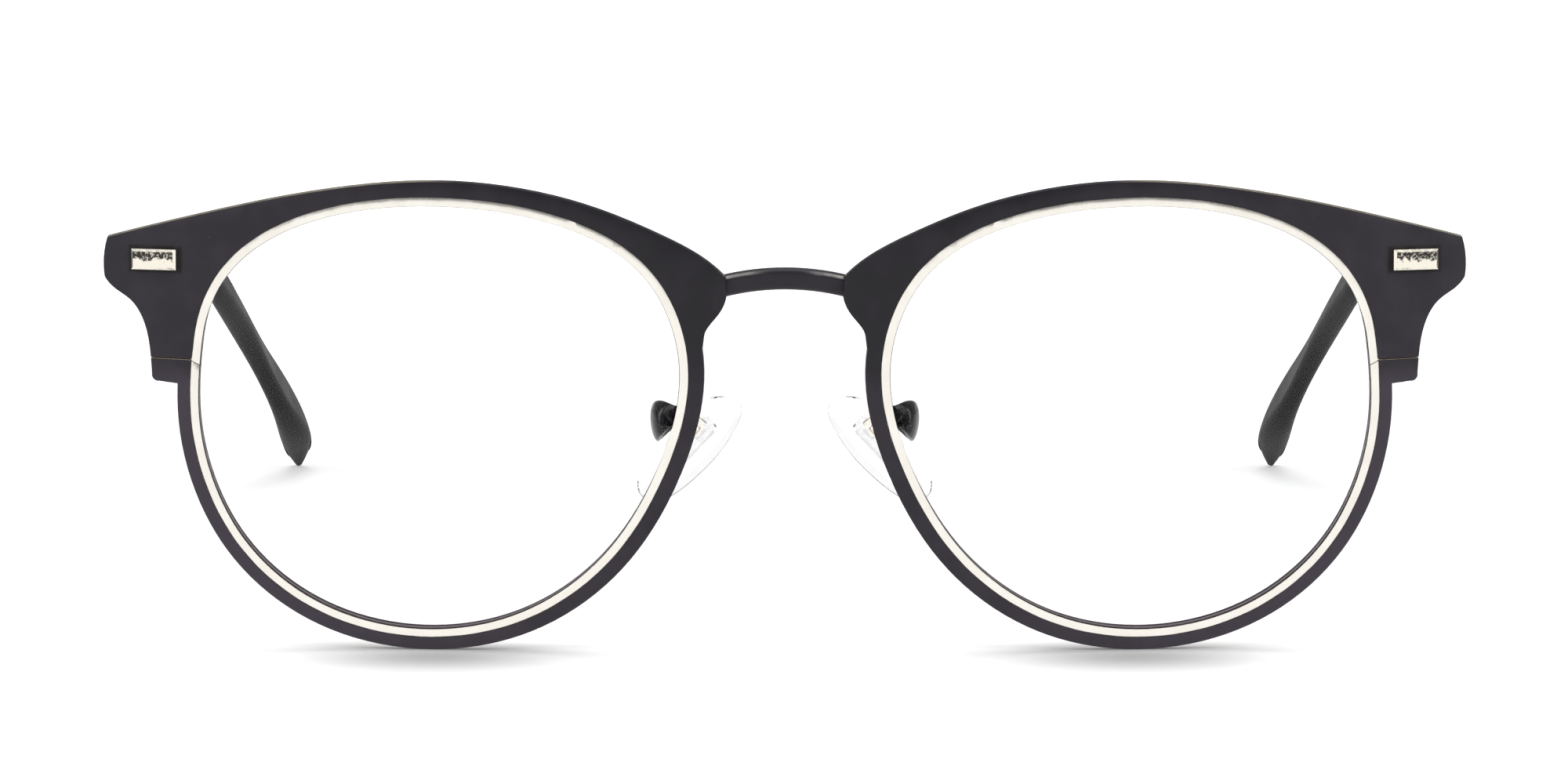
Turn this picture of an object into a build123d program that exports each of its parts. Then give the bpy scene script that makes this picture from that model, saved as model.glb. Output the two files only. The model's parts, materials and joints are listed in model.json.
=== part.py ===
"""Browline eyeglasses: two curved front plates round silver eyewires, a bridge, folding temples
and rocking nose pads.

Millimetres, +Z up. The glasses stand open on their rims and temple tips. The front faces -Y, the
temples run back along +Y, and +X is the wearer's left. Each left piece is built once and mirrored.
"""
from build123d import *
import os
from math import cos, radians, sin, sqrt, tan

# ---- Lenses and the face form --------------------------------------------------------------
lens_width = 50.23           # box width of a lens, over its edge tongue
lens_height = 45.27
lens_gap = 20.77             # between the two lenses, across the nose
lens_thickness = 1.8
base_radius = 130.0          # sphere that the front of each plate lies on
face_wrap = 3.5              # degrees that each lens turns outwards
face_tilt = 6.0              # degrees that the top of the front leans forward
tongue_height = 0.45         # lens edge held in the groove
tongue_thickness = 0.7
lens_fit = 0.05              # clearance round the lens edge

# Points round the lens as shares of its half width and half height, temple side first, top next
lens_shape = [
    (0.977, 0.359), (0.770, 0.771), (0.378, 0.962), (-0.054, 0.998), (-0.480, 0.920), (-0.850, 0.676),
    (-1.002, 0.238), (-0.910, -0.230), (-0.685, -0.638), (-0.336, -0.916), (0.089, -0.999), (0.506, -0.879),
    (0.828, -0.564), (0.984, -0.119),
]
nose_side_share = -0.972     # of the half width, where the lens outline is level with its centre

# ---- Eyewire -------------------------------------------------------------------------------
eyewire_width = 0.9          # seen from the front
eyewire_depth = 2.2
eyewire_recess = 0.1         # its face lies this far behind the plate's face
braze_gap = 0.01             # film of solder between fixed pieces

# ---- Front plate ---------------------------------------------------------------------------
plate_thickness = 1.0
band_width = 1.27            # rim below and beside the lens
band_nose_extra = 0.27       # the band is this much wider beside the nose
brow_rise = 2.0              # of the brow above the lens
brow_end_overhang = 9.3      # of the brow's temple end beyond the lens
brow_end_drop = 4.7          # of that end's top below the lens's top
brow_end_height = 4.8
brow_end_corner = 0.8
brow_nose_overhang = 4.32    # of the brow's nose end beyond the lens
brow_nose_drop = 9.1         # of the middle of that end below the lens's top
lug_overhang = 4.39          # of the narrow part that carries the closing blocks, beyond the lens
lug_split_height = 5.9       # above the lens centre, where the eyewire, plate and blocks part
lug_height = 2.4             # of the lug below the split
lug_corner = 0.75
lug_fillet = 0.5
split_gap = 0.12
split_slope = 25.0           # degrees that the eyewire's own joint slants
# Top of the brow from nose to temple: share of the lens's half width, and drop below the crown
brow_top = [(-1.10, 8.6), (-0.908, 5.7), (-0.617, 2.57), (-0.313, 0.67), (0.02, 0.0), (0.358, 0.66),
            (0.671, 2.08), (0.979, 3.99), (1.27, 6.05)]
# Under the brow's temple end: outwards from the lens, and share of the height from the split up to that end
brow_under = [(8.1, 0.95), (6.45, 0.80), (5.3, 0.58), (4.7, 0.33)]
# Under the brow's nose end: outwards from the lens, and drop below the middle of that end
nose_under = [(1.5, 7.5), (1.95, 5.9), (2.22, 4.5), (2.8, 3.65), (3.45, 2.9), (4.0, 2.05)]

# ---- Stud ----------------------------------------------------------------------------------
stud_length = 4.8
stud_height = 2.1
stud_rise = 0.85
stud_bevel = 0.25
stud_overhang = 3.79         # of its middle beyond the lens
stud_drop = 6.62             # of its middle below the lens's top
shank_radius = 0.45
shank_spacing = 2.8
shank_length = 2.3
shank_fit = 0.02

# ---- Bridge --------------------------------------------------------------------------------
bridge_drop = 8.05           # of the bar's middle below the lens's top
bridge_arch_radius = 26.0
bridge_bar_height = 2.2
bridge_bar_depth = 2.0
bridge_bar_corner = 0.65
bridge_seat = 0.3            # its ends are cut this deep to lie on the plates
bridge_overlap = 2.55        # behind the nose end of each plate

# ---- Endpiece, closing blocks and their screw ----------------------------------------------
endpiece_thickness = 1.6
endpiece_height = 4.4
endpiece_inset = 5.4         # reach of its front leg behind the brow
endpiece_run = 6.1           # from the back of that leg to the hinge axis
endpiece_blank = 6.0         # more than the leg's thickness, so that the plate's curve shapes its front
block_width = 3.0
block_depth = 3.0
upper_block_height = 5.6
lower_block_height = 2.4
block_inset = 0.2            # behind the edge of the lug
block_roof = 0.8             # above the screw's bore
closing_end_gap = 0.4        # between the screw and the end of its bore
closing_screw_radius = 0.55
closing_head_radius = 0.85
closing_head_height = 0.5
screw_fit = 0.02
slot_width = 0.22
slot_depth = 0.2

# ---- Hinge ---------------------------------------------------------------------------------
hinge_overhang = 5.09        # of the hinge axis beyond the lens
hinge_drop = 8.1             # of the hinge's middle below the lens's top
temple_drop = 6.5            # degrees that the open temple slopes down to the back
temple_toe_in = 2.5          # degrees that it slopes inwards
knuckle_radius = 1.25
knuckle_height = 1.25
washer_thickness = 0.15
knuckle_fit = 0.02           # play beside each washer
hinge_screw_radius = 0.6
hinge_head_radius = 0.95
hinge_head_height = 0.45
leaf_thickness = 0.85
leaf_length = 3.4
leaf_neck = 1.6
bar_offset = 1.32            # from the hinge axis to the inner face of the bars
butt_gap = 0.05              # between the endpiece and the open temple

# ---- Temple and tip ------------------------------------------------------------------------
temple_bar_thickness = 1.5
temple_front_height = 4.2
temple_rear_height = 2.8
temple_bar_edge = 0.25       # broken edges along its outer face
temple_bar_length = 70.0
sleeve_length = 13.0         # of the tip, from the bar to the start of the ear bend
sleeve_gap = 0.2             # between the bar and the mouth of the tip
core_radius = 0.6
core_in_tip = 24.0           # of the core wire beyond the bend
core_bend_radius = 12.0
core_fit = 0.05
core_root = 1.0              # of the wire inside the bar
core_end_gap = 0.5
tip_thickness = 2.5
tip_edge_radius = 1.05
tip_lean = 16.6              # degrees that the tip's flat sides lean
tip_end_rise = 1.19          # of the tip's last station above the table
# Stations of the tip from the bend: along the temple, share of its fall to the table, half its height,
# thickness as a share, and shift away from the wearer's head
tip_line = [(-4.0, 0.0, 2.0, 1.0, 0.0), (6.0, 0.131, 2.08, 1.0, 0.0), (19.0, 0.353, 1.53, 1.0, 0.0),
            (33.5, 0.605, 2.67, 0.87, 0.0), (41.0, 0.763, 2.5, 1.22, 0.08), (52.8, 1.0, 0.9, 0.32, 1.5)]

# ---- Nose pad, its insert, box and arm -----------------------------------------------------
pad_place = (-1.75, 7.9, -2.95)    # of the mount on the pad's outer face, from the root of its arm
pad_down = (0.69, 0.0, -0.725)     # along the pad
pad_back = (0.43, 0.80, 0.41)      # across the pad
pad_above_mount = 5.0
pad_below_mount = 8.9
pad_width = 7.0
pad_thickness = 1.8
pad_edge_radius = 0.7
pad_outline = [(0.0, 0.0), (0.22, 0.88), (0.62, 1.0), (0.92, 0.6)]   # shares of its length and half width
insert_length = 7.0
insert_width = 2.6
insert_thickness = 0.5
insert_depth = 0.7           # below the pad's outer face
insert_fit = 0.01
stem_width = 1.3
stem_length = 1.3
pivot_rise = 1.0             # of the rocking axis above the pad
pivot_fit = 0.03
pad_screw_radius = 0.35
pad_head_radius = 0.6
pad_head_height = 0.35
box_wall = 0.45
box_play = 0.28              # room for the stem to rock
box_side_play = 0.06
box_clear = 0.4              # between the pad and the mouth of its box
arm_root = 0.4               # height of the arm's root above the lens centre
arm_thickness = 1.25
# The arm's flattened loop from root to box: share of the way, then outwards, back and up, and its height
arm_loop = [
    (0.00, 0.0, 0.0, 0.0, 1.3), (0.12, 1.2, 0.9, -0.3, 2.6), (0.40, 2.5, 1.6, -0.9, 4.0),
    (0.70, 2.2, 0.7, -0.6, 3.3), (0.87, 1.2, -0.2, 0.0, 2.0), (1.00, 0.0, 0.0, 0.0, 1.5),
]

# ---- Shared places -------------------------------------------------------------------------
half_width = lens_width / 2
half_height = lens_height / 2
lens_spacing = lens_width + lens_gap
rim_drop = half_height + eyewire_width / 2 + band_width
rim_sag = base_radius - sqrt(base_radius**2 - rim_drop**2)
lens_centre_height = rim_drop * cos(radians(face_tilt)) - rim_sag * sin(radians(face_tilt))
nose_middle = half_height - brow_nose_drop
stud_place = (half_width + stud_overhang, half_height - stud_drop)

outward = Vector(cos(radians(face_wrap)), sin(radians(face_wrap)), 0)
forward = Vector(sin(radians(face_wrap)), -cos(radians(face_wrap)), 0)
face_normal = forward * cos(radians(face_tilt)) - Vector(0, 0, sin(radians(face_tilt)))
face = Plane(origin=(lens_spacing / 2, 0, lens_centre_height), x_dir=outward, z_dir=face_normal)
sphere_centre = face.origin - face.z_dir * base_radius
prism_depth = 16.0           # long enough to reach through the curved front
beyond = 2.0                 # cutters reach this far past what they cut


def rim_points(growth, nose_extra=0.0):
    """Points of the lens outline moved outwards by growth, temple side first."""
    count = len(lens_shape)
    moved = []
    for i, (across, up) in enumerate(lens_shape):
        before = lens_shape[i - 1]
        after = lens_shape[(i + 1) % count]
        run = Vector((after[0] - before[0]) * half_width, (after[1] - before[1]) * half_height)
        normal = Vector(run.Y, -run.X).normalized()
        reach = growth + nose_extra * max(0.0, -normal.X)
        moved.append((across * half_width + normal.X * reach, up * half_height + normal.Y * reach))
    return moved


def rim_line(growth, nose_extra=0.0):
    """The lens outline moved outwards by growth."""
    with BuildLine() as outline:
        Spline(*rim_points(growth, nose_extra), periodic=True)
    return outline.edges()


def keep_shell(front_depth, back_depth):
    """Keeps what lies between two depths behind the sphere of the plate's face."""
    with Locations(sphere_centre):
        Sphere(base_radius - front_depth, mode=Mode.INTERSECT)
        Sphere(base_radius - back_depth, mode=Mode.SUBTRACT)


def front_point(across, up, depth=0.0):
    """Point on the front's sphere, from the lens centre, at a depth behind the plate's face."""
    radius = base_radius - depth
    return face.from_local_coords((across, up, sqrt(radius**2 - across**2 - up**2) - base_radius))


def rim_solid(growth, front_depth, back_depth):
    """Disc with the lens outline, curved like the front."""
    with BuildPart() as disc:
        with BuildSketch(face.offset(-prism_depth)):
            make_face(rim_line(growth))
        extrude(amount=prism_depth + 1)
        keep_shell(front_depth, back_depth)
    return disc.part


def brow_line():
    """Outline of the brow with its lug; its lower side runs inside the band round the lens."""
    end_reach = half_width + brow_end_overhang
    end_top = half_height - brow_end_drop
    end_bottom = end_top - brow_end_height
    nose_reach = -half_width - brow_nose_overhang
    lug_reach = half_width + lug_overhang
    lug_bottom = lug_split_height - lug_height
    crown = half_height + brow_rise
    nose_top = (nose_reach + 0.1, nose_middle + 0.9)
    nose_low = (nose_reach, nose_middle - 1.0)
    brow = [nose_top]
    for share, drop in brow_top:
        brow.append((share * half_width, crown - drop))
    brow.append((end_reach - brow_end_corner / 2, end_top))
    temple_side = [(end_reach - 0.1, end_bottom + brow_end_corner)]
    for out, share in brow_under:
        temple_side.append((half_width + out, lug_split_height + share * (end_bottom - lug_split_height)))
    temple_side.append((lug_reach, lug_split_height))
    temple_side.append((lug_reach - 0.1, lug_bottom + lug_corner))
    lug_end = (lug_reach - 0.1 - lug_corner, lug_bottom)
    nose_side = []
    for out, drop in nose_under:
        nose_side.append((-half_width - out, nose_middle - drop))
    nose_side.append(nose_low)
    with BuildLine() as outline:
        Spline(*brow)
        ThreePointArc(brow[-1], (end_reach, (end_top + end_bottom) / 2), temple_side[0])
        Spline(*temple_side)
        ThreePointArc(temple_side[-1], (lug_reach - lug_corner / 3, lug_bottom + lug_corner / 4), lug_end)
        Polyline(lug_end, (half_width, lug_bottom - 0.3), nose_side[0])
        Spline(*nose_side)
        Line(nose_low, nose_top)
    return outline.edges()


def plate_solid(front_depth, back_depth):
    """The plate's outline, curved like the front, with no opening."""
    with BuildPart() as blank:
        with BuildSketch(face.offset(-prism_depth)) as outline:
            make_face(rim_line(eyewire_width / 2 + band_width, band_nose_extra))
            make_face(brow_line())
            corner = (half_width + eyewire_width / 2 + band_width, lug_split_height - lug_height)
            fillet(outline.vertices(Select.ALL).sort_by_distance(outline.workplanes[0].from_local_coords(corner))[0],
                   lug_fillet)
        extrude(amount=prism_depth + 1)
        keep_shell(front_depth, back_depth)
    return blank.part


left = {}                    # every left piece by name, in the order of the list in the report

# ---- Eyewire and lens ----------------------------------------------------------------------
groove_front = eyewire_recess + (eyewire_depth - tongue_thickness) / 2 - lens_fit
groove_back = groove_front + tongue_thickness + 2 * lens_fit
groove = rim_solid(lens_fit, groove_front, groove_back)
opening = rim_solid(-tongue_height, -beyond, eyewire_recess + eyewire_depth + beyond)
split_centre = Vector(half_width, lug_split_height - eyewire_width / 2 * tan(radians(split_slope)))

with BuildPart() as eyewire:
    add(rim_solid(eyewire_width / 2, eyewire_recess, eyewire_recess + eyewire_depth))
    add(opening, mode=Mode.SUBTRACT)
    add(groove, mode=Mode.SUBTRACT)
    # The slanting joint where the closing screw pulls the two ends together
    with BuildSketch(face.offset(-prism_depth)):
        with Locations(Location(split_centre, (0, 0, split_slope))):
            Rectangle(3 * eyewire_width, split_gap / 2)
    extrude(amount=prism_depth + 1, mode=Mode.SUBTRACT)
left["eyewire"] = eyewire.part

lens_front = eyewire_recess + (eyewire_depth - lens_thickness) / 2
with BuildPart() as lens:
    add(rim_solid(-tongue_height - lens_fit, lens_front, lens_front + lens_thickness))
    add(rim_solid(0, groove_front + lens_fit, groove_back - lens_fit))
left["lens"] = lens.part

# ---- Front plate with its brow, slim band and lug ------------------------------------------
with BuildPart() as front_plate:
    add(plate_solid(0, plate_thickness))
    add(rim_solid(eyewire_width / 2 + braze_gap, -beyond, plate_thickness + beyond), mode=Mode.SUBTRACT)
    # The plate parts with the eyewire, so that the lens can be changed
    with BuildSketch(face.offset(-prism_depth)):
        with Locations((half_width + lug_overhang, lug_split_height)):
            Rectangle(2 * lug_overhang, split_gap)
    extrude(amount=prism_depth + 1, mode=Mode.SUBTRACT)
    stud_spot = front_point(*stud_place)
    stud_plane = Plane(origin=stud_spot, x_dir=face.x_dir, z_dir=stud_spot - sphere_centre)
    with BuildSketch(stud_plane.offset(1)):
        with GridLocations(shank_spacing, 0, 2, 1):
            Circle(shank_radius + shank_fit)
    extrude(amount=-shank_length - beyond, mode=Mode.SUBTRACT)
left["front_plate"] = front_plate.part

# ---- Stud on the brow ----------------------------------------------------------------------
with BuildPart() as stud:
    with BuildSketch(stud_plane.offset(-1)):
        Rectangle(stud_length, stud_height)
    extrude(amount=1 + stud_rise)
    with Locations(sphere_centre):
        Sphere(base_radius + braze_gap, mode=Mode.SUBTRACT)
    chamfer(stud.faces().sort_by(Axis(stud_spot, stud_plane.z_dir))[-1].edges(), stud_bevel)
    with BuildSketch(stud_plane.offset(-shank_length)):
        with GridLocations(shank_spacing, 0, 2, 1):
            Circle(shank_radius)
    extrude(amount=shank_length + stud_rise / 2)
left["brow_stud"] = stud.part

# ---- Hinge places --------------------------------------------------------------------------
slope = radians(temple_drop)
hinge_axis = Vector(0, sin(slope), cos(slope))
leg_back = front_point(*stud_place, plate_thickness).Y + endpiece_thickness
hinge = Plane(origin=(lens_spacing / 2 + half_width + hinge_overhang, leg_back + endpiece_run,
                      lens_centre_height + half_height - hinge_drop), x_dir=(1, 0, 0), z_dir=hinge_axis)
temple_way = hinge.rotated((0, 0, temple_toe_in))
pitch = knuckle_height + washer_thickness + 2 * knuckle_fit     # from one knuckle to the next
leaf_height = 2 * pitch + knuckle_height
screw_top = leaf_height / 2

# ---- Endpiece: behind the brow, then back to the hinge --------------------------------------
bar_outside = bar_offset + temple_bar_thickness
with BuildPart() as endpiece:
    with BuildSketch(hinge.offset(-endpiece_height / 2)):
        with BuildLine():
            Polyline(
                (bar_offset, -butt_gap), (bar_outside, -butt_gap),
                (bar_outside, -endpiece_run - endpiece_blank),
                (-endpiece_inset, -endpiece_run - endpiece_blank), (-endpiece_inset, -endpiece_run),
                (bar_offset, -endpiece_run), close=True)
        make_face()
    extrude(amount=endpiece_height)
    with Locations(sphere_centre):
        Sphere(base_radius - plate_thickness - braze_gap, mode=Mode.INTERSECT)
    with BuildSketch(stud_plane):
        with GridLocations(shank_spacing, 0, 2, 1):
            Circle(shank_radius + shank_fit)
    extrude(amount=-shank_length - closing_end_gap, mode=Mode.SUBTRACT)
left["endpiece"] = endpiece.part


# ---- Closing blocks behind the lug ---------------------------------------------------------
block_middle = half_width + lug_overhang - block_width / 2 - block_inset
block_back = front_point(block_middle, lug_split_height, plate_thickness).sub(face.origin).dot(face.z_dir)
screw_depth = block_back - block_depth / 2
lock = Plane(origin=face.from_local_coords((block_middle, lug_split_height, screw_depth)),
             x_dir=face.x_dir, z_dir=face.y_dir)


def closing_block(bottom, top):
    """Block on the eyewire's end, behind the plate, from bottom to top above the split."""
    with BuildPart() as block:
        with BuildSketch(lock.offset(bottom)):
            Rectangle(block_width, block_depth + 2 * beyond)
        extrude(amount=top - bottom)
        keep_shell(plate_thickness + braze_gap, plate_thickness + block_depth)
        add(rim_solid(eyewire_width / 2 + braze_gap, -beyond, prism_depth / 2), mode=Mode.SUBTRACT)
    return block.part


with BuildPart() as upper_block:
    add(closing_block(split_gap / 2, upper_block_height))
    with BuildSketch(lock):
        Circle(closing_screw_radius + screw_fit)
    extrude(amount=upper_block_height - block_roof, mode=Mode.SUBTRACT)
    add(endpiece.part, mode=Mode.SUBTRACT)
left["upper_closing_block"] = upper_block.part

with BuildPart() as lower_block:
    add(closing_block(-split_gap / 2 - lower_block_height, -split_gap / 2))
    with BuildSketch(lock):
        Circle(closing_screw_radius + screw_fit)
    extrude(amount=-lower_block_height - beyond, mode=Mode.SUBTRACT)
left["lower_closing_block"] = lower_block.part


def slotted_screw(base, head_radius, head_height, shank_radius, length):
    """Screw whose head sits on the base plane, with its shank running down from there."""
    with BuildPart() as screw:
        with BuildSketch(base):
            Circle(head_radius)
        extrude(amount=head_height)
        chamfer(screw.edges().group_by(SortBy.LENGTH)[-1].sort_by(Axis(base.origin, base.z_dir))[-1], head_height / 3)
        with BuildSketch(base.offset(head_height)):
            Rectangle(3 * head_radius, slot_width)
        extrude(amount=-slot_depth, mode=Mode.SUBTRACT)
        with BuildSketch(base):
            Circle(shank_radius)
        extrude(amount=-length)
    return screw.part


closing_seat = lock.offset(-split_gap / 2 - lower_block_height)
closing_base = Plane(origin=closing_seat.origin, x_dir=lock.x_dir, z_dir=-lock.z_dir)
closing_length = lower_block_height + upper_block_height - block_roof - closing_end_gap
left["closing_screw"] = slotted_screw(
    closing_base, closing_head_radius, closing_head_height, closing_screw_radius, closing_length)

# ---- Hinge ---------------------------------------------------------------------------------


def knuckle(plane, middle, way, height):
    """Round knuckle on the hinge axis with its neck and leaf; way is -1 to the front, 1 to the back."""
    with BuildPart() as piece:
        with BuildSketch(plane.offset(middle - height / 2)):
            Circle(knuckle_radius)
            with Locations((bar_offset - braze_gap - leaf_thickness / 2, way * leaf_neck / 2)):
                Rectangle(leaf_thickness, leaf_neck)
            Circle(hinge_screw_radius + screw_fit, mode=Mode.SUBTRACT)
        extrude(amount=height)
    return piece.part


def leaf_plate(plane, way):
    """Flat of a hinge leaf, full height, on the inner face of its bar."""
    with BuildPart() as piece:
        with BuildSketch(plane.offset(-leaf_height / 2)):
            with Locations((bar_offset - braze_gap - leaf_thickness / 2, way * (leaf_neck + leaf_length / 2))):
                Rectangle(leaf_thickness, leaf_length)
        extrude(amount=leaf_height)
    return piece.part


with BuildPart() as front_leaf:
    add(leaf_plate(hinge, -1))
    for middle in (-pitch, pitch):
        add(knuckle(hinge, middle, -1, knuckle_height))
left["hinge_front_leaf"] = front_leaf.part

with BuildPart() as temple_leaf:
    add(leaf_plate(temple_way, 1))
    add(knuckle(temple_way, 0, 1, knuckle_height))
left["hinge_temple_leaf"] = temple_leaf.part

washer_place = knuckle_height / 2 + knuckle_fit
with BuildPart() as washers:
    for bottom in (washer_place, -washer_place - washer_thickness):
        with BuildSketch(hinge.offset(bottom)):
            Circle(knuckle_radius - 0.1)
            Circle(hinge_screw_radius + screw_fit, mode=Mode.SUBTRACT)
        extrude(amount=washer_thickness)
left["hinge_washers"] = washers.part

left["hinge_screw"] = slotted_screw(
    hinge.offset(screw_top), hinge_head_radius, hinge_head_height, hinge_screw_radius, leaf_height)

# ---- Temple: flat bar, then a round core wire inside the tip --------------------------------
bar_middle = bar_offset + temple_bar_thickness / 2
bend = temple_way.from_local_coords((bar_middle, temple_bar_length + sleeve_length, 0))
way_back = temple_way.y_dir
lean_up = temple_way.z_dir * cos(radians(tip_lean)) + temple_way.x_dir * sin(radians(tip_lean))
tip_plane = Plane(origin=bend, x_dir=way_back, z_dir=way_back.cross(lean_up))
tip_fall = (bend.Z + tip_line[-1][0] * way_back.Z - tip_end_rise) / tip_plane.y_dir.Z

core_turn = Vector(tip_line[2][0], -tip_line[2][1] * tip_fall).normalized()


def core_wire(radius, extra):
    """Round wire from the end of the bar round the ear bend, extra longer at its end."""
    start = (-sleeve_length - core_root, 0)
    stop = core_turn * (core_in_tip + extra)
    with BuildPart() as wire:
        with BuildLine(tip_plane) as path:
            FilletPolyline(start, (0, 0), (stop.X, stop.Y), radius=core_bend_radius)
        with BuildSketch(Plane(origin=tip_plane.from_local_coords(start), z_dir=way_back)):
            Circle(radius)
        sweep(path=path.wires()[0])
    return wire.part


with BuildPart() as temple:
    with BuildSketch(Plane(origin=temple_way.from_local_coords((bar_offset, 0, 0)),
                           x_dir=way_back, z_dir=-temple_way.x_dir)):
        with BuildLine():
            Polyline(
                (butt_gap, temple_front_height / 2), (butt_gap, -temple_front_height / 2),
                (temple_bar_length, -temple_rear_height / 2), (temple_bar_length, temple_rear_height / 2),
                close=True)
        make_face()
    extrude(amount=-temple_bar_thickness)
    chamfer(temple.edges().group_by(SortBy.LENGTH)[-1], temple_bar_edge)
    add(core_wire(core_radius, 0))
left["temple"] = temple.part

mouth = (sleeve_gap - sleeve_length, 0.0, 1.9, 1.0, 0.0)
stations = [mouth] + tip_line
tip_points = [Vector(along, -share * tip_fall) for along, share, *_ in stations]
tip_ways = [Vector(1, 0)] + [b - a for a, b in zip(tip_points[:-2], tip_points[2:])]
tip_ways.append(tip_points[-1] - tip_points[-2])
with BuildPart() as temple_tip:
    for point, way, (_, _, half, thickness, shift) in zip(tip_points, tip_ways, stations):
        origin = tip_plane.from_local_coords((point.X, point.Y, shift))
        z_dir = tip_plane.x_dir * way.X + tip_plane.y_dir * way.Y
        with BuildSketch(Plane(origin=origin, x_dir=tip_plane.z_dir, z_dir=z_dir)):
            RectangleRounded(tip_thickness * thickness, 2 * half, tip_edge_radius * thickness)
    loft()
    add(core_wire(core_radius + core_fit, core_end_gap), mode=Mode.SUBTRACT)
left["temple_tip"] = temple_tip.part

# ---- Nose pad on its metal insert, rocking on a screw in its box -----------------------------
eyewire_back = eyewire_recess + eyewire_depth
root = front_point(half_width * nose_side_share, arm_root, eyewire_back + braze_gap)
pad = Plane(origin=root + Vector(*pad_place), x_dir=pad_down, z_dir=Vector(pad_down).cross(Vector(pad_back)))
across_pad = Plane(origin=pad.origin, x_dir=pad.x_dir, z_dir=-pad.y_dir)   # its y_dir stands up from the pad
pivot = pad.from_local_coords((0, 0, pivot_rise))
pad_length = pad_above_mount + pad_below_mount


def stem_and_plate(growth):
    """Insert inside the pad with the stem that carries it, grown all round by growth."""
    with BuildPart() as insert:
        with BuildSketch(pad.offset(-insert_depth - insert_thickness - growth)):
            with Locations((insert_length / 4, 0)):
                RectangleRounded(insert_length + 2 * growth, insert_width + 2 * growth, insert_width / 3)
        extrude(amount=insert_thickness + 2 * growth)
        with BuildSketch(across_pad.offset(-stem_width / 2 - growth)):
            with Locations((0, (pivot_rise - insert_depth) / 2)):
                Rectangle(stem_length + 2 * growth, pivot_rise + insert_depth)
            with Locations((0, pivot_rise)):
                Circle(stem_length / 2 + growth)
        extrude(amount=stem_width + 2 * growth)
    return insert.part


with BuildPart() as pad_insert:
    add(stem_and_plate(0))
    with BuildSketch(across_pad.offset(-stem_width)):
        with Locations((0, pivot_rise)):
            Circle(pad_screw_radius + pivot_fit)
    extrude(amount=2 * stem_width, mode=Mode.SUBTRACT)
left["pad_insert"] = pad_insert.part

with BuildPart() as nose_pad:
    with BuildSketch(pad.offset(-pad_thickness)):
        with BuildLine():
            near = [(pad_length * a - pad_above_mount, pad_width / 2 * b) for a, b in pad_outline]
            far = [(x, -y) for x, y in near[:0:-1]]
            Spline(*near, (pad_below_mount, 0), *far, periodic=True)
        make_face()
    extrude(amount=pad_thickness)
    fillet(nose_pad.faces().filter_by(pad).edges(), pad_edge_radius)
    add(stem_and_plate(insert_fit), mode=Mode.SUBTRACT)
left["nose_pad"] = nose_pad.part

cavity_length = stem_length + 2 * box_play
cavity_width = stem_width + 2 * box_side_play
cavity_top = pivot_rise + stem_length / 2 + box_side_play
box_top = cavity_top + box_wall
with BuildPart() as pad_box:
    with BuildSketch(pad.offset(box_clear)):
        RectangleRounded(cavity_length + 2 * box_wall, cavity_width + 2 * box_wall, box_wall)
    extrude(amount=box_top - box_clear)
    with BuildSketch(pad.offset(box_clear)):
        Rectangle(cavity_length, cavity_width)
    extrude(amount=cavity_top - box_clear, mode=Mode.SUBTRACT)
    with BuildSketch(across_pad.offset(-cavity_width)):
        with Locations((0, pivot_rise)):
            Circle(pad_screw_radius + screw_fit)
    extrude(amount=2 * cavity_width, mode=Mode.SUBTRACT)
left["pad_box"] = pad_box.part

box_side = cavity_width / 2 + box_wall
pad_screw_base = Plane(origin=pivot - pad.y_dir * box_side, x_dir=pad.x_dir, z_dir=-pad.y_dir)
left["pad_screw"] = slotted_screw(
    pad_screw_base, pad_head_radius, pad_head_height, pad_screw_radius, 2 * box_side - 0.1)

# ---- Pad arm: a flattened loop of wire from the back of the eyewire to the pad box -----------
arm_end = pad.from_local_coords((0, 0, box_top + braze_gap))
arm_points = []
for share, out, back, up, height in arm_loop:
    arm_points.append(root + (arm_end - root) * share + Vector(out, back, up))
arm_ways = [after - before for before, after in zip(arm_points[:-2], arm_points[2:])]
arm_ways = [sphere_centre - root] + arm_ways + [-pad.z_dir]
with BuildPart() as pad_arm:
    for point, way, (*_, height) in zip(arm_points, arm_ways, arm_loop):
        with BuildSketch(Plane(origin=point, x_dir=(0, 0, 1), z_dir=way)):
            Ellipse(height / 2, arm_thickness / 2)
    loft()
left["pad_arm"] = pad_arm.part

# ---- Bridge bar, arched, behind the noses of the two plates ----------------------------------
nose_end = front_point(-half_width - brow_nose_overhang, nose_middle, plate_thickness)
bridge_depth = nose_end.Y + bridge_bar_depth / 2 - bridge_seat
bridge_height = lens_centre_height + half_height - bridge_drop
bridge_half_length = nose_end.X + bridge_overlap
with BuildPart() as bridge:
    fall = bridge_arch_radius - sqrt(bridge_arch_radius**2 - bridge_half_length**2)
    with BuildLine(Plane.XZ.offset(-bridge_depth)):
        RadiusArc((0, bridge_height), (bridge_half_length, bridge_height - fall), bridge_arch_radius)
    with BuildSketch(Plane(origin=(0, bridge_depth, bridge_height), x_dir=(0, 1, 0), z_dir=(1, 0, 0))):
        RectangleRounded(bridge_bar_depth, bridge_bar_height, bridge_bar_corner)
    sweep()
    add(plate_solid(-beyond, plate_thickness + braze_gap), mode=Mode.SUBTRACT)
    mirror(about=Plane.YZ)

# ---- Both sides, set down with the origin under the middle of the whole ----------------------
pieces = {"bridge": bridge.part}
for name, piece in left.items():
    with BuildPart() as twin:
        mirror(piece, about=Plane.YZ)
    pieces["left_" + name] = piece
    pieces["right_" + name] = twin.part

whole = Compound(list(pieces.values())).bounding_box()
rest = Location((0, -whole.center().Y, -whole.min.Z))
os.makedirs("parts", exist_ok=True)
for name, piece in pieces.items():
    settled = piece.moved(rest)
    settled.label = name
    export_step(settled, "parts/" + name + ".step")
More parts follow.
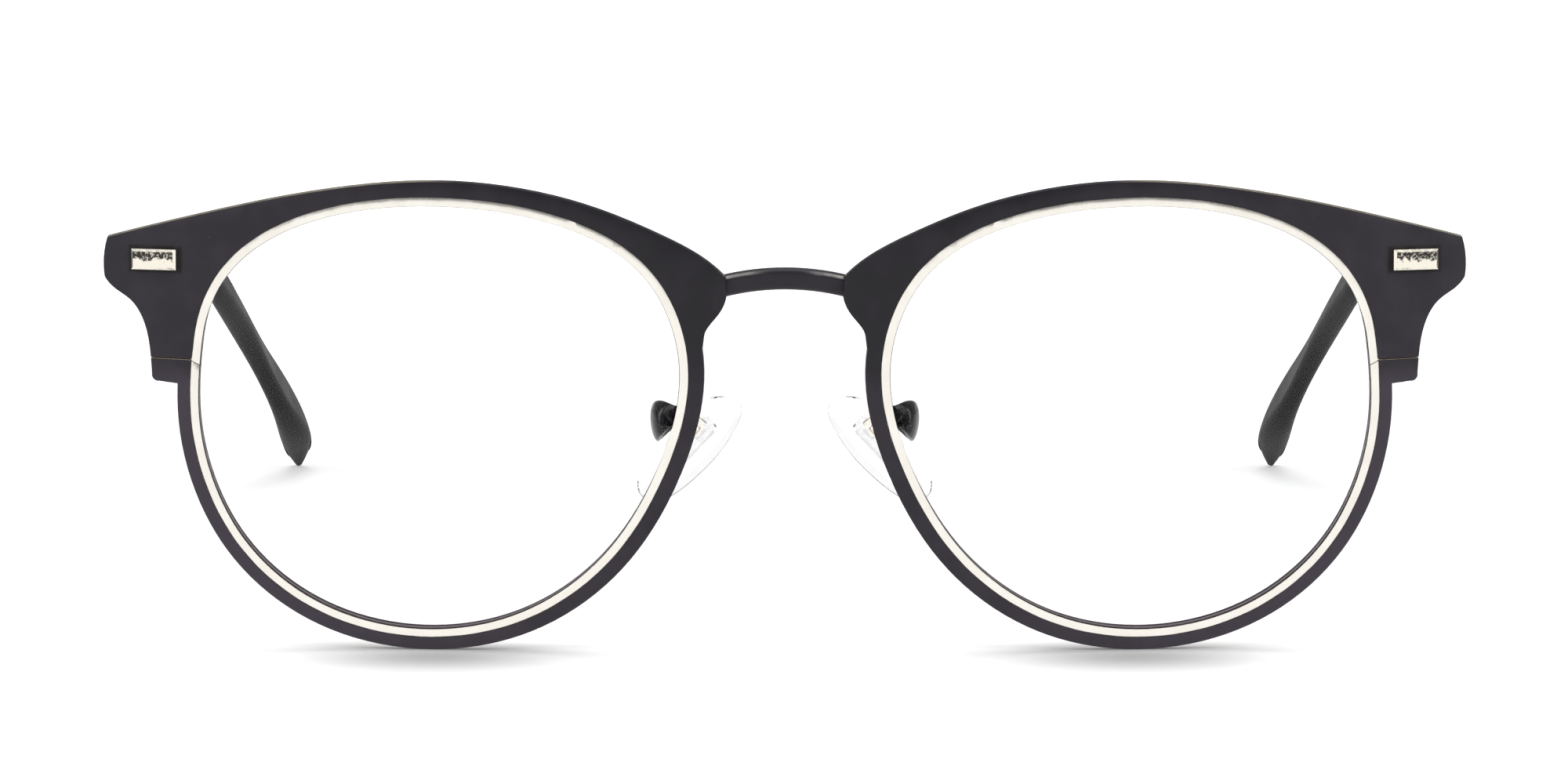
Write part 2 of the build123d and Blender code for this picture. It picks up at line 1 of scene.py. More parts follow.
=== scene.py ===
"""Looks for the browline eyeglasses: finishes, light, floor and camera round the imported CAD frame.

Metres, +Z up. The front faces -Y, the temples run back along +Y, and +X is the wearer's left.
"""
import bmesh
import bpy
import json
from math import atan2, cos, pi, radians, sin
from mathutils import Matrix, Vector


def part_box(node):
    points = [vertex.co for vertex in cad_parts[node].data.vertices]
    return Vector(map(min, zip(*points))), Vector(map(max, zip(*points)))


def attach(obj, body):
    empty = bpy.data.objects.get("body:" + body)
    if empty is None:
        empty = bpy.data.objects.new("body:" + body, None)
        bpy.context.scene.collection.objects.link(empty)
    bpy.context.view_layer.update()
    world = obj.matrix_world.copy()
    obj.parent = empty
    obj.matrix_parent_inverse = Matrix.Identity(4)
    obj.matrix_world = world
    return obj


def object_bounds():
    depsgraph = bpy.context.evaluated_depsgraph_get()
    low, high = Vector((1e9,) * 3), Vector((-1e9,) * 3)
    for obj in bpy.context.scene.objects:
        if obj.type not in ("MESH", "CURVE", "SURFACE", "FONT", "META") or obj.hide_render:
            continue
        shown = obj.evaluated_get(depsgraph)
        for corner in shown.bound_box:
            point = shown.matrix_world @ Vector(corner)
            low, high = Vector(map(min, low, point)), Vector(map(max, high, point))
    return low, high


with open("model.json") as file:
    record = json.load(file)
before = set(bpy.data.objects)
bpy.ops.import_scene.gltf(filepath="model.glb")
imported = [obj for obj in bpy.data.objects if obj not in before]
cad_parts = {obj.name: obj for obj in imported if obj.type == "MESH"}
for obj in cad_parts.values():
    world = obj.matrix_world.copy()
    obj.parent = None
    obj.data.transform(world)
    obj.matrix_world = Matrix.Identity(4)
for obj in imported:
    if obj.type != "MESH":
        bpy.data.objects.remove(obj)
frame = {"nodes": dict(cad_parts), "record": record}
cad_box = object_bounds()
MM = 0.001

# ---- Sizes of the front, as in the CAD ----------------------------------------------------
BASE_RADIUS = 130.0 * MM     # sphere of each plate's face
WRAP = radians(3.5)          # each side of the front turns outwards
TILT = radians(6.0)          # the top of the front leans forward
LENS_SPACING = 71.0 * MM
LENS_CENTRE_RISE = 23.98 * MM
FRONT_SETBACK = 0.66 * MM    # of the lens centre's face behind the foremost point
LENS_FRONT = 0.3 * MM        # depths of the lens's two faces behind the sphere
LENS_BACK = 2.1 * MM
SPLIT_RISE = 5.9 * MM        # of the joint in the rim, above the lens centre

# ---- Places, all from the frame -------------------------------------------------------------
low, high = cad_box
height = high.z - low.z
lens_centre_height = low.z + LENS_CENTRE_RISE
stud_low, stud_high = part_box("left_brow_stud")
stud_middle = (stud_low + stud_high) / 2
stud_half = (stud_high - stud_low) / 2


# ---- Node helpers ---------------------------------------------------------------------------


def new_material(name):
    """An empty node material with its Principled shader joined to the output."""
    material = bpy.data.materials.new(name)
    material.use_nodes = True
    return material, material.node_tree, material.node_tree.nodes["Principled BSDF"]


def place(tree):
    """Object-space position in metres."""
    return tree.nodes.new("ShaderNodeTexCoord").outputs["Object"]


def noise(tree, size, detail=2.0, stretch=(1, 1, 1), distortion=0.0):
    """Noise whose grains are about size metres, as a value round 0.5."""
    mapping = tree.nodes.new("ShaderNodeMapping")
    mapping.inputs["Scale"].default_value = [1 / s for s in stretch]
    tree.links.new(place(tree), mapping.inputs["Vector"])
    node = tree.nodes.new("ShaderNodeTexNoise")
    node.inputs["Scale"].default_value = 1 / size
    node.inputs["Detail"].default_value = detail
    node.inputs["Distortion"].default_value = distortion
    tree.links.new(mapping.outputs["Vector"], node.inputs["Vector"])
    return node.outputs["Fac"]


def specks(tree, spacing, reach):
    """1 inside sparse dots of radius reach, on cells of that spacing."""
    node = tree.nodes.new("ShaderNodeTexVoronoi")
    node.inputs["Scale"].default_value = 1 / spacing
    tree.links.new(place(tree), node.inputs["Vector"])
    return ramp(tree, node.outputs["Distance"], (0, 1), (reach / spacing, 0))


def ramp(tree, value, *stops):
    """Colour ramp of (position, grey or colour) stops."""
    node = tree.nodes.new("ShaderNodeValToRGB")
    elements = node.color_ramp.elements
    while len(elements) < len(stops):
        elements.new(0.5)
    for element, (position, colour) in zip(elements, sorted(stops)):
        element.position = position
        element.color = (*colour, 1) if isinstance(colour, tuple) else (colour, colour, colour, 1)
    tree.links.new(value, node.inputs["Fac"])
    return node.outputs["Color"]


def span(tree, value, low_in, high_in, low_out, high_out):
    """Maps a value smoothly from one range to another."""
    node = tree.nodes.new("ShaderNodeMapRange")
    node.interpolation_type = "SMOOTHSTEP"
    numbers = {"From Min": low_in, "From Max": high_in, "To Min": low_out, "To Max": high_out}
    for name, number in numbers.items():
        node.inputs[name].default_value = number
    tree.links.new(value, node.inputs["Value"])
    return node.outputs["Result"]


def calc(tree, operation, first, second=0.0, third=0.0):
    """One Math node."""
    node = tree.nodes.new("ShaderNodeMath")
    node.operation = operation
    for socket, value in zip(node.inputs, (first, second, third)):
        if isinstance(value, (int, float)):
            socket.default_value = value
        else:
            tree.links.new(value, socket)
    return node.outputs[0]


def blend_colour(tree, share, first, second):
    """Mix of two colours by a share from 0 to 1."""
    node = tree.nodes.new("ShaderNodeMix")
    node.data_type = "RGBA"
    if isinstance(share, (int, float)):
        node.inputs["Factor"].default_value = share
    else:
        tree.links.new(share, node.inputs["Factor"])
    for name, value in (("A", first), ("B", second)):
        socket = [s for s in node.inputs if s.name == name and s.type == "RGBA"][0]
        if isinstance(value, tuple):
            socket.default_value = (*value, 1)
        else:
            tree.links.new(value, socket)
    return [s for s in node.outputs if s.type == "RGBA"][0]


def bump(tree, shader, height_value, distance, strength=1.0):
    """Bump of a depth in metres on a shader's normal."""
    node = tree.nodes.new("ShaderNodeBump")
    node.inputs["Distance"].default_value = distance
    node.inputs["Strength"].default_value = strength
    tree.links.new(height_value, node.inputs["Height"])
    tree.links.new(node.outputs["Normal"], shader.inputs["Normal"])


def normal_part(tree, axis):
    """One part of the surface's own direction, in object space."""
    split = tree.nodes.new("ShaderNodeSeparateXYZ")
    tree.links.new(tree.nodes.new("ShaderNodeTexCoord").outputs["Normal"], split.inputs["Vector"])
    return split.outputs[axis]


def place_part(tree, axis):
    """One part of the object-space position."""
    split = tree.nodes.new("ShaderNodeSeparateXYZ")
    tree.links.new(place(tree), split.inputs["Vector"])
    return split.outputs[axis]


# ---- Finishes -------------------------------------------------------------------------------


VIOLET_BLACK = (0.008, 0.0062, 0.0105)
VIOLET_GREY = (0.048, 0.038, 0.054)
DUST = (0.55, 0.54, 0.52)
BARE_EDGE_SILVER = (0.50, 0.45, 0.35)
CUT_GLINT_GOLD = (1.0, 0.84, 0.56)


def lacquer_coat(tree, shader, share):
    """Satin violet-black lacquer, lighter by a share, with fine texture and stray dust: its colour."""
    cloud = span(tree, noise(tree, 4 * MM, detail=3), 0.35, 0.65, -0.08, 0.08)
    coat = blend_colour(tree, calc(tree, "ADD", share, cloud), VIOLET_BLACK, VIOLET_GREY)
    grain = noise(tree, 0.14 * MM, detail=4)
    tree.links.new(ramp(tree, grain, (0.3, 0.38), (0.7, 0.50)), shader.inputs["Roughness"])
    shader.inputs["Specular IOR Level"].default_value = 0.35
    bump(tree, shader, grain, 0.005 * MM, 0.5)
    return blend_colour(tree, specks(tree, 2.3 * MM, 0.045 * MM), coat, DUST)


def black_lacquer():
    """Satin violet-black lacquer for the small fittings."""
    material, tree, shader = new_material("black_lacquer")
    tree.links.new(lacquer_coat(tree, shader, 0.2), shader.inputs["Base Color"])
    return material


def plate_finish():
    """Lacquered plate, with painted light making it paler towards the bottom of the rim and towards the
    temples, bare silver on the top edge of the brow whose reach along its outer part is a painted reflection,
    a painted glint of gold on the bare face at the rim's joint, and painted shade round the studs.
    """
    material, tree, shader = new_material("plate_lacquer")
    # Painted light: the lacquer is painted paler towards the temples and towards the bottom of the rim, where
    # the light falls on it.
    painted_light_to_temple = span(tree, calc(tree, "ABSOLUTE", place_part(tree, "X")), 8 * MM, 64 * MM, 0, 1)
    painted_light_low = span(tree, place_part(tree, "Z"), lens_centre_height + 6 * MM, lens_centre_height + 3 * MM, 0, 1)
    share = calc(tree, "MULTIPLY_ADD", painted_light_low, 0.33, calc(tree, "MULTIPLY", painted_light_to_temple, 0.35))
    share = calc(tree, "MULTIPLY_ADD", calc(tree, "MULTIPLY", painted_light_low, painted_light_to_temple), 0.3, share)
    coat = lacquer_coat(tree, shader, share)

    # Bare silver on the upward top edge of the brow. It is kept to the outer part, towards the temples, as a
    # painted reflection, with streaks.
    upward = span(tree, normal_part(tree, "Z"), 0.35, 0.55, 0, 1)
    brow = span(tree, place_part(tree, "Z"), 0.74 * height, 0.78 * height, 0, 1)
    outer = span(tree, calc(tree, "ABSOLUTE", place_part(tree, "X")), 33 * MM, 39 * MM, 0.0, 0.62)
    streaks = span(tree, noise(tree, 1.1 * MM, detail=3), 0.3, 0.7, 0.65, 1.15)
    outer_streaks = calc(tree, "MULTIPLY", outer, streaks)
    silver_edge_and_reflection = calc(tree, "MULTIPLY", calc(tree, "MULTIPLY", upward, brow), outer_streaks)
    # Painted glint: a bright gold line on the upward bare face at the rim's joint, with streaks.
    split = calc(tree, "SUBTRACT", place_part(tree, "Z"), lens_centre_height + SPLIT_RISE)
    near_split = span(tree, calc(tree, "ABSOLUTE", split), 1.1 * MM, 0.9 * MM, 0, 1)
    cut = calc(tree, "MULTIPLY", calc(tree, "MULTIPLY", upward, near_split), streaks)
    # Painted shade: near black round each stud, as the shade of the hollow it sits in.
    from_stud = calc(tree, "SUBTRACT", calc(tree, "ABSOLUTE", place_part(tree, "X")), stud_middle.x)
    beside = calc(tree, "SUBTRACT", calc(tree, "ABSOLUTE", from_stud), stud_half.x)
    over = calc(tree, "ABSOLUTE", calc(tree, "SUBTRACT", place_part(tree, "Z"), stud_middle.z))
    off_stud = calc(tree, "MAXIMUM", beside, calc(tree, "SUBTRACT", over, stud_half.z))
    painted_stud_shade = span(tree, off_stud, 0.45 * MM, 0.15 * MM, 0, 0.9)
    coat_with_painted_shade_and_edge = blend_colour(tree, silver_edge_and_reflection, blend_colour(tree, painted_stud_shade, coat, (0.001, 0.001, 0.001)), BARE_EDGE_SILVER)
    tree.links.new(blend_colour(tree, cut, coat_with_painted_shade_and_edge, CUT_GLINT_GOLD), shader.inputs["Base Color"])
    tree.links.new(silver_edge_and_reflection, shader.inputs["Metallic"])
    return material


def bridge_finish():
    """Lacquered bar with a painted highlight, pale and partly metallic, on its upper front edge towards both
    ends.
    """
    material, tree, shader = new_material("bridge_lacquer")
    coat = lacquer_coat(tree, shader, 0.2)
    # Painted highlight on the upper front edge near both ends, where the lamps catch the bar's rounded
    # corner.
    across = calc(tree, "ABSOLUTE", place_part(tree, "X"))
    from_middle = span(tree, across, 1.5 * MM, 5.5 * MM, 0, 1)
    ends = calc(tree, "MULTIPLY", from_middle, span(tree, across, 8.0 * MM, 6.8 * MM, 0, 1))
    facing = span(tree, normal_part(tree, "Y"), -0.5, -0.75, 0, 1)
    upper = calc(tree, "MULTIPLY", span(tree, normal_part(tree, "Z"), 0.25, 0.5, 0, 1), facing)
    patchy = span(tree, noise(tree, 0.8 * MM), 0.3, 0.7, 0.45, 0.75)
    painted_highlight = calc(tree, "MULTIPLY", calc(tree, "MULTIPLY", ends, upper), patchy)
    tree.links.new(blend_colour(tree, painted_highlight, coat, (0.55, 0.53, 0.49)), shader.inputs["Base Color"])
    tree.links.new(painted_highlight, shader.inputs["Metallic"])
    return material


def arm_enamel():
    """Smooth glossy black enamel of the pad arms, faintly uneven where it pooled."""
    material, tree, shader = new_material("arm_enamel")
    cloud = noise(tree, 1.5 * MM, detail=2)
    share = ramp(tree, cloud, (0.3, 0.0), (0.7, 1.0))
    enamel = blend_colour(tree, share, (0.005, 0.004, 0.006), (0.008, 0.007, 0.009))
    tree.links.new(enamel, shader.inputs["Base Color"])
    tree.links.new(ramp(tree, cloud, (0.3, 0.20), (0.7, 0.24)), shader.inputs["Roughness"])
    shader.inputs["Specular IOR Level"].default_value = 0.4
    bump(tree, shader, noise(tree, 0.9 * MM), 0.002 * MM, 0.3)
    return material


def pale_silver():
    """Warm pale plating, softly polished, with faint drawing marks."""
    material, tree, shader = new_material("pale_silver")
    shader.inputs["Metallic"].default_value = 1.0
    cloud = noise(tree, 2.5 * MM, detail=2)
    share = ramp(tree, cloud, (0.3, 0.0), (0.7, 1.0))
    plating = blend_colour(tree, share, (0.955, 0.91, 0.83), (0.995, 0.97, 0.90))
    tree.links.new(plating, shader.inputs["Base Color"])
    grain = noise(tree, 0.09 * MM, detail=3, stretch=(3, 1, 3))
    tree.links.new(ramp(tree, grain, (0.3, 0.20), (0.7, 0.28)), shader.inputs["Roughness"])
    bump(tree, shader, grain, 0.001 * MM, 0.3)
    return material


def polished_silver():
    """Bright warm plating with small hammered dents, and a painted dark reflection with pale flecks over the
    front of its upper half.
    """
    material, tree, shader = new_material("polished_silver")
    shader.inputs["Metallic"].default_value = 1.0
    cloud = noise(tree, 0.45 * MM, detail=4)
    # Painted reflection: the front of the stud's upper half is painted dark, with paler flecks, for the dim
    # room above it.
    facing = span(tree, normal_part(tree, "Y"), -0.90, -0.96, 0, 1)
    rise = calc(tree, "SUBTRACT", place_part(tree, "Z"), stud_middle.z + 0.05 * MM)
    ragged = calc(tree, "MULTIPLY_ADD", calc(tree, "SUBTRACT", cloud, 0.5), 1.6 * MM, rise)
    painted_dark_reflection = calc(tree, "MULTIPLY", span(tree, ragged, -0.15 * MM, 0.15 * MM, 0, 1), facing)
    flecks = span(tree, noise(tree, 0.22 * MM, detail=2), 0.52, 0.66, 0, 1)
    dark = blend_colour(tree, flecks, (0.05, 0.046, 0.042), (0.62, 0.58, 0.50))
    tree.links.new(blend_colour(tree, painted_dark_reflection, (0.97, 0.92, 0.80), dark), shader.inputs["Base Color"])
    tree.links.new(ramp(tree, cloud, (0.3, 0.10), (0.7, 0.22)), shader.inputs["Roughness"])
    dents = tree.nodes.new("ShaderNodeTexVoronoi")
    dents.feature = "SMOOTH_F1"
    dents.inputs["Scale"].default_value = 1 / (0.55 * MM)
    tree.links.new(place(tree), dents.inputs["Vector"])
    bump(tree, shader, dents.outputs["Distance"], 0.04 * MM, 0.5)
    return material


def screw_steel():
    """Turned steel with fine rings."""
    material, tree, shader = new_material("screw_steel")
    shader.inputs["Metallic"].default_value = 1.0
    cloud = noise(tree, 0.4 * MM, detail=3)
    tree.links.new(
        blend_colour(tree, ramp(tree, cloud, (0.3, 0.0), (0.7, 1.0)), (0.50, 0.48, 0.45), (0.66, 0.64, 0.60)),
        shader.inputs["Base Color"])
    grain = noise(tree, 0.05 * MM, detail=2, stretch=(4, 4, 0.6))
    tree.links.new(ramp(tree, grain, (0.3, 0.24), (0.7, 0.40)), shader.inputs["Roughness"])
    bump(tree, shader, grain, 0.004 * MM, 0.5)
    return material


def clear(name, ior, roughness, tint, level, smudge_size):
    """See-through finish that lets light through to the shadows."""
    material, tree, shader = new_material(name)
    shader.inputs["Transmission Weight"].default_value = 1.0
    shader.inputs["IOR"].default_value = ior
    shader.inputs["Specular IOR Level"].default_value = level
    cloud = noise(tree, smudge_size, detail=3)
    tree.links.new(
        blend_colour(tree, ramp(tree, cloud, (0.3, 0.0), (0.7, 1.0)), tint, (1.0, 1.0, 1.0)),
        shader.inputs["Base Color"])
    tree.links.new(ramp(tree, cloud, (0.4, roughness), (0.8, roughness + 0.02)), shader.inputs["Roughness"])
    light = tree.nodes.new("ShaderNodeLightPath")
    through = tree.nodes.new("ShaderNodeBsdfTransparent")
    both = tree.nodes.new("ShaderNodeMixShader")
    tree.links.new(light.outputs["Is Shadow Ray"], both.inputs["Fac"])
    tree.links.new(shader.outputs["BSDF"], both.inputs[1])
    tree.links.new(through.outputs["BSDF"], both.inputs[2])
    tree.links.new(both.outputs["Shader"], tree.nodes["Material Output"].inputs["Surface"])
    return material


def nylon():
    """Milky washer nylon."""
    material, tree, shader = new_material("nylon")
    cloud = noise(tree, 0.5 * MM, detail=3)
    tree.links.new(
        blend_colour(tree, ramp(tree, cloud, (0.3, 0.0), (0.7, 1.0)), (0.66, 0.65, 0.60), (0.78, 0.77, 0.73)),
        shader.inputs["Base Color"])
    shader.inputs["Roughness"].default_value = 0.5
    shader.inputs["Subsurface Weight"].default_value = 0.1
    bump(tree, shader, noise(tree, 0.08 * MM), 0.004 * MM, 0.5)
    return material


def tip_acetate():
    """Dark grey acetate, tumbled to a soft even shine."""
    material, tree, shader = new_material("tip_acetate")
    cloud = noise(tree, 6 * MM, detail=3, distortion=0.6)
    share = ramp(tree, cloud, (0.35, 0.0), (0.65, 1.0))
    acetate = blend_colour(tree, share, (0.013, 0.0125, 0.014), (0.017, 0.0165, 0.018))
    tree.links.new(acetate, shader.inputs["Base Color"])
    shader.inputs["IOR"].default_value = 1.25
    shader.inputs["Specular IOR Level"].default_value = 0.12
    tree.links.new(ramp(tree, cloud, (0.3, 0.38), (0.7, 0.46)), shader.inputs["Roughness"])
    bump(tree, shader, noise(tree, 1.2 * MM, detail=2), 0.004 * MM, 0.3)
    return material


def ground_edge():
    """Lens edge in its groove, painted: dark bands of painted groove shadow at its front and back, with a
    paler band of painted reflection along its middle.
    """
    material, tree, shader = new_material("ground_edge")
    split = tree.nodes.new("ShaderNodeSeparateXYZ")
    tree.links.new(tree.nodes.new("ShaderNodeTexCoord").outputs["UV"], split.inputs["Vector"])
    drift = calc(tree, "SUBTRACT", noise(tree, 3 * MM, detail=2), 0.5)
    uneven = calc(tree, "MULTIPLY_ADD", drift, 0.12, split.outputs["Y"])
    front_lip_shade, back_lip_shade = (0.085, 0.068, 0.075), (0.018, 0.016, 0.017)
    shade_and_reflection_bands = ramp(tree, uneven, (0.0, front_lip_shade), (0.2, front_lip_shade), (0.32, (0.22, 0.18, 0.20)),
                 (0.5, (0.20, 0.165, 0.185)), (0.62, back_lip_shade), (1.0, back_lip_shade))
    tree.links.new(shade_and_reflection_bands, shader.inputs["Base Color"])
    shader.inputs["Specular IOR Level"].default_value = 0.1
    tree.links.new(ramp(tree, noise(tree, 0.2 * MM), (0.3, 0.45), (0.7, 0.6)), shader.inputs["Roughness"])
    return material


FINISHES = {
    "black_lacquer": black_lacquer(),
    "pale_silver": pale_silver(),
    "polished_silver": polished_silver(),
    "screw_steel": screw_steel(),
    "lens_clear": clear("lens_clear", 1.12, 0.0, (0.992, 0.994, 1.0), 0.5, 9 * MM),
    "pad_silicone": clear("pad_silicone", 1.12, 0.02, (0.965, 0.967, 0.97), 0.5, 1.5 * MM),
    "pad_insert": clear("pad_insert", 1.22, 0.03, (0.80, 0.80, 0.805), 0.5, 0.6 * MM),
    "nylon": nylon(),
    "tip_acetate": tip_acetate(),
}
slot_of = {row["node"]: row["material_slot"] for row in frame["record"]["subparts"]}
OWN_FINISHES = {
    "front_plate": plate_finish(), "pad_arm": arm_enamel(), "bridge": bridge_finish(),
    "pad_box": FINISHES["pale_silver"], "pad_screw": FINISHES["pale_silver"],
}
for name, node in frame["nodes"].items():
    finish = OWN_FINISHES.get(name.replace("left_", "").replace("right_", ""))
    for slot in node.material_slots:
        slot.material = finish or FINISHES[slot_of[name]]

# ---- Broken edges ---------------------------------------------------------------------------
EDGE_BREAKS = {"front_plate": 0.07 * MM, "eyewire": 0.08 * MM}


def break_edges(node, width):
    """Small rounded edges that catch the light, as a modifier that leaves the CAD mesh alone."""
    weld = node.modifiers.new("weld", "WELD")
    weld.merge_threshold = 0.001 * MM
    bevel = node.modifiers.new("broken_edges", "BEVEL")
    bevel.width = width
    bevel.segments = 2
    bevel.limit_method = "ANGLE"
    bevel.angle_limit = radians(40)
    bevel.harden_normals = True


for part, width in EDGE_BREAKS.items():
    for side in ("left_", "right_"):
        break_edges(frame["nodes"][side + part], width)

# ---- Edges of the lenses, painted with shade and reflection -----------------------------------
EDGE_INSET = 0.02 * MM       # inside the glass, so that it shows through the lens's face
EDGE_STEPS = 8


class Front:
    """One side of the front: its lens centre, its directions and the sphere of its face."""

    def __init__(self, side):
        self.origin = Vector((side * LENS_SPACING / 2, low.y + FRONT_SETBACK, low.z + LENS_CENTRE_RISE))
        self.across = Vector((side * cos(WRAP), sin(WRAP), 0))
        self.up = Vector((side * sin(TILT) * sin(WRAP), -sin(TILT) * cos(WRAP), cos(TILT)))
        self.normal = Vector((side * sin(WRAP) * cos(TILT), -cos(WRAP) * cos(TILT), -sin(TILT)))
        self.sphere_centre = self.origin - self.normal * BASE_RADIUS

    def flat(self, point):
        """Where a point lies across and up from the lens centre."""
        offset = point - self.origin
        return Vector((offset.dot(self.across), offset.dot(self.up)))

    def point(self, flat, depth):
        """Point at a depth behind the sphere of the face."""
        fall = ((BASE_RADIUS - depth) ** 2 - flat.length_squared) ** 0.5
        return self.sphere_centre + self.across * flat.x + self.up * flat.y + self.normal * fall


def lens_outline(front, node):
    """Outline of a lens's front face, in order round its centre."""
    mesh = bmesh.new()
    mesh.from_mesh(node.data)
    bmesh.ops.remove_doubles(mesh, verts=mesh.verts, dist=0.001 * MM)
    corners = set()
    for edge in mesh.edges:
        if edge.calc_face_angle(0) > radians(50):
            for vertex in edge.verts:
                depth = BASE_RADIUS - (vertex.co - front.sphere_centre).length
                if abs(depth - LENS_FRONT) < 0.03 * MM:
                    corners.add(front.flat(vertex.co).freeze())
    mesh.free()
    return sorted(corners, key=lambda flat: atan2(flat.y, flat.x))


def lens_edge(name, side, node):
    """Thin dark band just inside the rim of a lens, from its front face to its back face, carrying painted
    shade and reflection.
    """
    front = Front(side)
    outline = lens_outline(front, node)
    mesh = bmesh.new()
    uv = mesh.loops.layers.uv.new("edge")
    rows = []
    for step in range(EDGE_STEPS + 1):
        share = step / EDGE_STEPS
        depth = LENS_FRONT + EDGE_INSET + share * (LENS_BACK - LENS_FRONT - 2 * EDGE_INSET)
        inset = [flat * (1 - EDGE_INSET / flat.length) for flat in outline]
        rows.append([mesh.verts.new(front.point(flat, depth)) for flat in inset])
    for step in range(EDGE_STEPS):
        for i in range(len(outline)):
            here, beyond = rows[step], rows[step + 1]
            face = mesh.faces.new((here[i - 1], here[i], beyond[i], beyond[i - 1]))
            face.smooth = True
            for loop, (along, back) in zip(face.loops, ((i, 0), (i + 1, 0), (i + 1, 1), (i, 1))):
                loop[uv].uv = (along / len(outline), (step + back) / EDGE_STEPS)
    data = bpy.data.meshes.new(name)
    mesh.to_mesh(data)
    mesh.free()
    piece = bpy.data.objects.new(name, data)
    bpy.context.scene.collection.objects.link(piece)
    data.materials.append(EDGE_SHADE_FINISH)
    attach(piece, "front")


EDGE_SHADE_FINISH = ground_edge()
lens_edge("left_lens_edge", 1, frame["nodes"]["left_lens"])
lens_edge("right_lens_edge", -1, frame["nodes"]["right_lens"])

# ---- Floor ----------------------------------------------------------------------------------
FLOOR_SIZE = 8.0
# Painted soft shadow on the floor under each rim:
RIM_SHADE_PLACE = 1.0 * MM   # of its middle behind the foremost point
RIM_SHADE_REACH = Vector((20 * MM, 15 * MM, 1))
RIM_SHADE_LEVEL = 0.42


def distance(tree, centre, reach):
    """Distance from a centre, measured in reaches along each axis."""
    offset = tree.nodes.new("ShaderNodeVectorMath")
    offset.operation = "SUBTRACT"
    tree.links.new(place(tree), offset.inputs[0])
    offset.inputs[1].default_value = centre
    shares = tree.nodes.new("ShaderNodeVectorMath")
    shares.operation = "DIVIDE"
    tree.links.new(offset.outputs[0], shares.inputs[0])
    shares.inputs[1].default_value = reach
    length = tree.nodes.new("ShaderNodeVectorMath")
    length.operation = "LENGTH"
    tree.links.new(shares.outputs[0], length.inputs[0])
    return length.outputs["Value"]


def painted_rim_shadow(tree, side):
    """Painted soft shadow on the floor under one rim: 1 outside it."""
    centre = Vector((side * LENS_SPACING / 2, low.y + RIM_SHADE_PLACE, 0))
    return span(tree, distance(tree, centre, RIM_SHADE_REACH), 0, 1, RIM_SHADE_LEVEL, 1)


def floor_white():
    """White floor: plain diffuse for light, lifted to white for the eye, with the shadows kept and a painted
    soft shadow under each rim.
    """
    material, tree, shader = new_material("floor_white")
    tree.nodes.remove(shader)
    paper = tree.nodes.new("ShaderNodeBsdfDiffuse")
    paper.inputs["Color"].default_value = (0.78, 0.78, 0.78, 1)
    bright_paper = tree.nodes.new("ShaderNodeBsdfDiffuse")
    lift = tree.nodes.new("ShaderNodeEmission")
    shade = calc(tree, "MULTIPLY", painted_rim_shadow(tree, 1), painted_rim_shadow(tree, -1))
    tree.links.new(blend_colour(tree, shade, (0, 0, 0), (0.95, 0.95, 0.95)), bright_paper.inputs["Color"])
    from_middle = distance(tree, Vector((0, 0, 0)), Vector((1, 1, 1)))
    glow = span(tree, from_middle, 0.12, 0.5, 0.16, 0.8)
    tree.links.new(calc(tree, "MULTIPLY", glow, shade), lift.inputs["Strength"])
    white = tree.nodes.new("ShaderNodeEmission")
    white.inputs["Strength"].default_value = 1.0
    seen = tree.nodes.new("ShaderNodeAddShader")
    tree.links.new(bright_paper.outputs[0], seen.inputs[0])
    tree.links.new(lift.outputs[0], seen.inputs[1])
    light = tree.nodes.new("ShaderNodeLightPath")
    eye = calc(tree, "MAXIMUM", light.outputs["Is Camera Ray"], light.outputs["Is Transmission Ray"])
    mirrored = tree.nodes.new("ShaderNodeMixShader")
    tree.links.new(light.outputs["Is Glossy Ray"], mirrored.inputs["Fac"])
    tree.links.new(paper.outputs[0], mirrored.inputs[1])
    tree.links.new(white.outputs[0], mirrored.inputs[2])
    both = tree.nodes.new("ShaderNodeMixShader")
    tree.links.new(eye, both.inputs["Fac"])
    tree.links.new(mirrored.outputs[0], both.inputs[1])
    tree.links.new(seen.outputs[0], both.inputs[2])
    tree.links.new(both.outputs[0], tree.nodes["Material Output"].inputs["Surface"])
    return material


bpy.ops.mesh.primitive_plane_add(size=FLOOR_SIZE, location=(0, 0, low.z - 0.02 * MM))
floor = bpy.context.object
floor.name = "floor"
floor.data.materials.append(floor_white())

# ---- World ----------------------------------------------------------------------------------
ROOM_LEVEL = 0.55            # what the room gives to surfaces


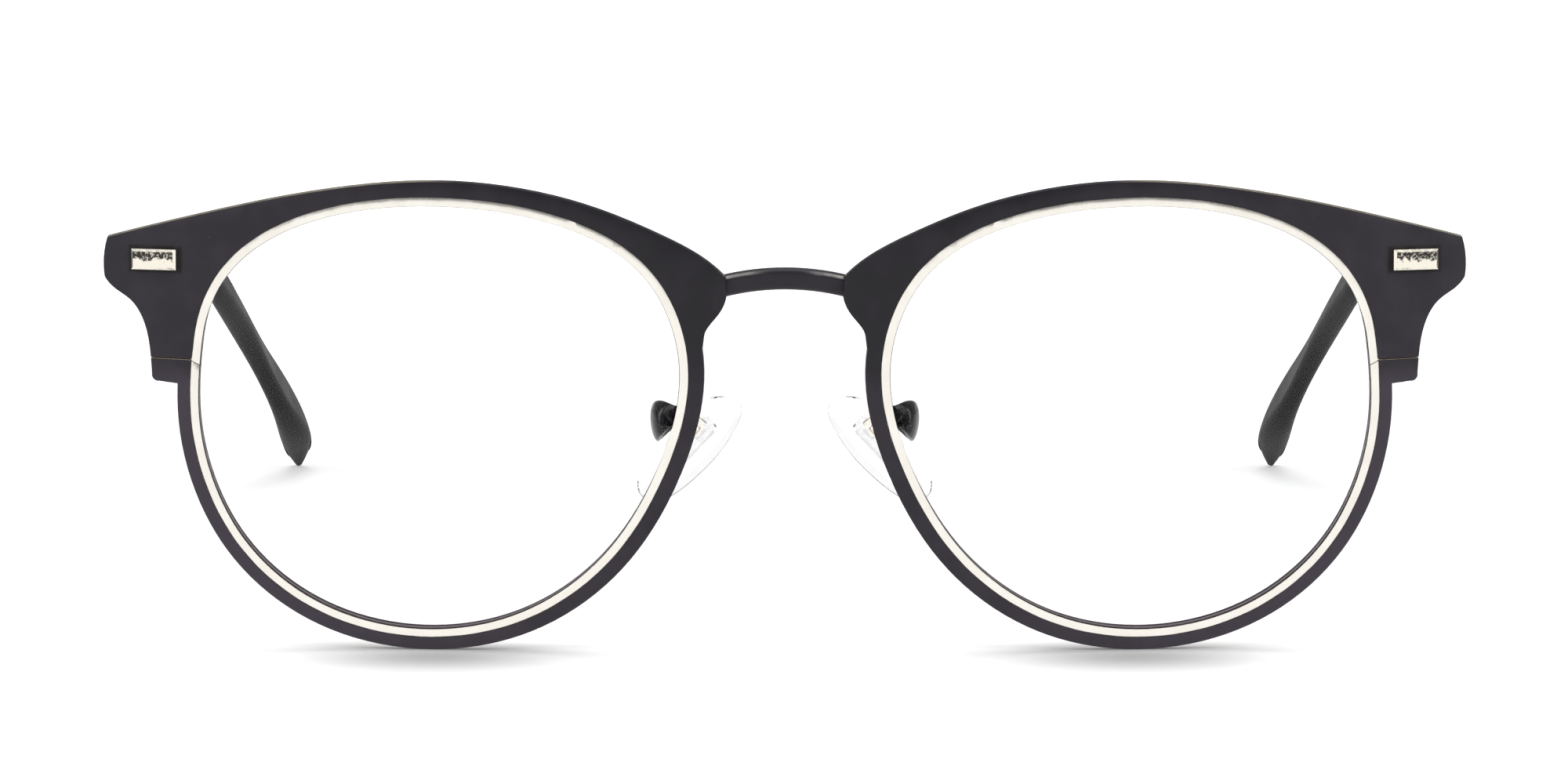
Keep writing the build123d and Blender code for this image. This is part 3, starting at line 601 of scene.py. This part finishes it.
def studio_world():
    """Pale room: white to the eye and in reflections, plain light on surfaces, dimmer above the front."""
    world = bpy.data.worlds.new("studio")
    bpy.context.scene.world = world
    world.use_nodes = True
    tree = world.node_tree
    background = tree.nodes["Background"]
    light = tree.nodes.new("ShaderNodeLightPath")
    shine = calc(tree, "MAXIMUM", light.outputs["Is Glossy Ray"], light.outputs["Is Transmission Ray"])
    seen = calc(tree, "MAXIMUM", light.outputs["Is Camera Ray"], shine)
    tree.links.new(span(tree, seen, 0, 1, ROOM_LEVEL, 1), background.inputs["Strength"])
    split = tree.nodes.new("ShaderNodeSeparateXYZ")
    tree.links.new(tree.nodes.new("ShaderNodeTexCoord").outputs["Generated"], split.inputs["Vector"])
    dim = ramp(tree, split.outputs["Z"], (0.12, 1.0), (0.26, 0.22), (0.8, 0.22), (0.95, 0.8))
    shown = blend_colour(tree, light.outputs["Is Glossy Ray"], (1.0, 1.0, 1.0), dim)
    tree.links.new(shown, background.inputs["Color"])


studio_world()

# ---- Lamps ----------------------------------------------------------------------------------


def softbox(name, where, size, watts):
    """Square soft lamp aimed at the middle of the front."""
    lamp = bpy.data.lights.new(name, "AREA")
    lamp.shape = "SQUARE"
    lamp.size = size
    lamp.energy = watts
    thing = bpy.data.objects.new(name, lamp)
    bpy.context.scene.collection.objects.link(thing)
    thing.location = where
    aim = Vector((0, low.y, height / 2))
    thing.rotation_euler = (aim - thing.location).to_track_quat("-Z", "Y").to_euler()


for side in (-1, 1):
    softbox("side_box", (side * 0.75, -0.55, 0.65), 0.55, 3.2)
softbox("top_box", (0, 0.15, 1.1), 0.8, 3.6)

# ---- Camera ---------------------------------------------------------------------------------
CAMERA_RISE = radians(7.3)
CAMERA_DISTANCE = 0.997
FOCAL = 225.0
SENSOR = 36.0

camera_data = bpy.data.cameras.new("camera")
camera_data.lens = FOCAL
camera_data.sensor_width = SENSOR
camera_data.shift_x = -0.0005
camera_data.shift_y = -0.0001
camera = bpy.data.objects.new("camera", camera_data)
bpy.context.scene.collection.objects.link(camera)
aim = Vector((0, low.y + 0.66 * MM, low.z + 0.558 * height))
camera.location = aim + Vector((0, -cos(CAMERA_RISE), sin(CAMERA_RISE))) * CAMERA_DISTANCE
camera.rotation_euler = (pi / 2 - CAMERA_RISE, 0, 0)
bpy.context.scene.camera = camera
bpy.context.scene.view_settings.view_transform = "Standard"
